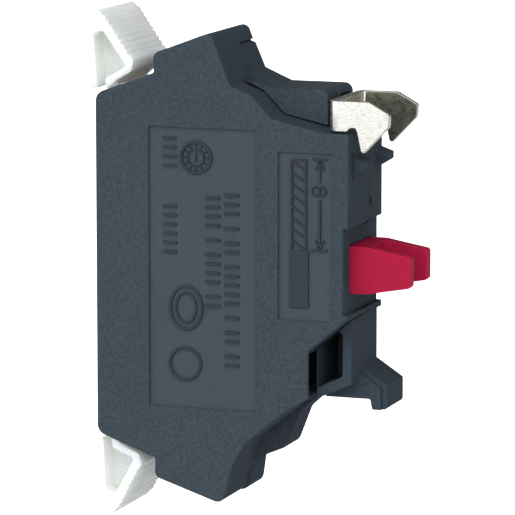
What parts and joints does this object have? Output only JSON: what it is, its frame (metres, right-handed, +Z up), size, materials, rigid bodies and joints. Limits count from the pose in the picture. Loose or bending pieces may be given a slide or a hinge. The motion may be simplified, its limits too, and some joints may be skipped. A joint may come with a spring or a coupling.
{
  "type": "emergency stop contact block",
  "caption": "Slim plug-in contact block for a panel emergency stop: sprung forked plunger, metal latch stirrup, hook foot and two white spring-clamp release levers.",
  "frame": {"origin": "where the plunger axis crosses the front plane, at mid thickness", "axes": "+X out of the front along the plunger towards the panel, +Z up towards the latch, Y through the thickness with the shell that carries the strip gauge on the -Y side"},
  "size_m": [0.0302, 0.01, 0.0457],
  "materials": {
    "case_plastic": "fine spark-eroded grain, dark blue-grey",
    "plunger_red": "satin moulded crimson",
    "lever_white": "satin moulded white",
    "latch_steel": "nickel-plated sheet",
    "spring_steel": "drawn wire",
    "copper_alloy": "stamped copper alloy",
    "silver_tip": "silver contact rivet"
  },
  "bodies": {
    "case": {"main_case": "case_plastic", "case_cover": "case_plastic", "plunger_return_spring": "spring_steel", "return_spring_guide_pin": "spring_steel", "upper_terminal_bar": "copper_alloy", "lower_terminal_bar": "copper_alloy", "upper_contact_tip": "silver_tip", "lower_contact_tip": "silver_tip", "upper_clamp_spring": "copper_alloy", "lower_clamp_spring": "copper_alloy", "latch_pivot_pin": "spring_steel", "latch_return_spring": "spring_steel"},
    "plunger": {"plunger": "plunger_red"},
    "bridge": {"contact_bridge": "copper_alloy", "bridge_contact_tips": "silver_tip", "pressure_spring_cup": "spring_steel", "contact_pressure_spring": "spring_steel"},
    "upper_lever": {"upper_release_lever": "lever_white"},
    "lower_lever": {"lower_release_lever": "lever_white"},
    "latch": {"latch_stirrup": "latch_steel"}
  },
  "joints": [
    {"name": "plunger_slide", "type": "slide", "parent": "case", "child": "plunger", "axis": [-1, 0, 0], "range_m": [0, 0.0043], "stiffness_N_per_m": 500, "springref_m": -0.003, "deforming": ["plunger_return_spring", "contact_pressure_spring"]},
    {"name": "bridge_slide", "type": "slide", "parent": "case", "child": "bridge", "axis": [-1, 0, 0], "range_m": [0, 0.0028], "deforming": ["contact_pressure_spring", "plunger_return_spring"]},
    {"name": "upper_lever_hinge", "type": "hinge", "parent": "case", "child": "upper_lever", "pos_m": [-0.0213, 0, 0.0123], "axis": [0, -1, 0], "range_deg": [0, 25], "stiffness_Nm_per_rad": 0.05, "springref_deg": -5.73},
    {"name": "lower_lever_hinge", "type": "hinge", "parent": "case", "child": "lower_lever", "pos_m": [-0.0213, 0, -0.013], "axis": [0, 1, 0], "range_deg": [0, 28], "stiffness_Nm_per_rad": 0.05, "springref_deg": -5.73},
    {"name": "latch_hinge", "type": "hinge", "parent": "case", "child": "latch", "pos_m": [-0.005, 0, 0.0136], "axis": [0, -1, 0], "range_deg": [0, 16], "stiffness_Nm_per_rad": 0.1, "springref_deg": -8.59, "deforming": ["latch_return_spring"]}
  ],
  "couplings": [
    {"joint": "bridge_slide", "follows": "plunger_slide", "ratio": 0.65}
  ]
}
